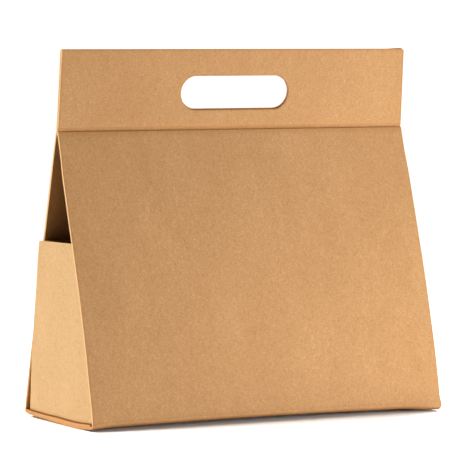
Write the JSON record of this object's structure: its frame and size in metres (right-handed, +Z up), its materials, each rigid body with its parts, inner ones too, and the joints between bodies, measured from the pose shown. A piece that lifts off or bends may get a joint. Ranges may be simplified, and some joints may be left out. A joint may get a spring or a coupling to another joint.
{
  "type": "kraft gift box with handle",
  "caption": "Tent-shaped gift box of kraft-covered board with an open-topped tray, a hinged back panel and a two-leaf carrying handle with a hand slot.",
  "frame": {"origin": "middle of the footprint on the surface the box stands on, halfway between the front and back folds and between the two ends", "axes": "+X along the length of the box to the right as seen from the front, +Y towards the back panel, +Z up towards the handle"},
  "size_m": [0.2982, 0.116, 0.2729],
  "materials": {
    "kraft_cover": "matte kraft paper over board",
    "kraft_tray": "matte kraft paper over board",
    "magnet": "plain nickel-plated disc"
  },
  "bodies": {
    "box": {"base_panel": "kraft_cover", "front_panel": "kraft_cover", "tray": "kraft_tray"},
    "back_flap": {"back_panel": "kraft_cover"},
    "front_leaf": {"front_handle_leaf": "kraft_cover", "front_magnets": "magnet"},
    "back_leaf": {"back_handle_leaf": "kraft_cover", "back_magnets": "magnet"}
  },
  "joints": [
    {"name": "back_flap_hinge", "type": "hinge", "parent": "box", "child": "back_flap", "pos_m": [0, 0.05654, 0.00146], "axis": [-1, 0, 0], "range_deg": [0, 90]},
    {"name": "front_leaf_hinge", "type": "hinge", "parent": "box", "child": "front_leaf", "pos_m": [0, 0.00042, 0.2146], "axis": [1, 0, 0], "range_deg": [0, 70]},
    {"name": "back_leaf_hinge", "type": "hinge", "parent": "back_flap", "child": "back_leaf", "pos_m": [0, 0.00122, 0.2146], "axis": [-1, 0, 0], "range_deg": [0, 70]}
  ]
}
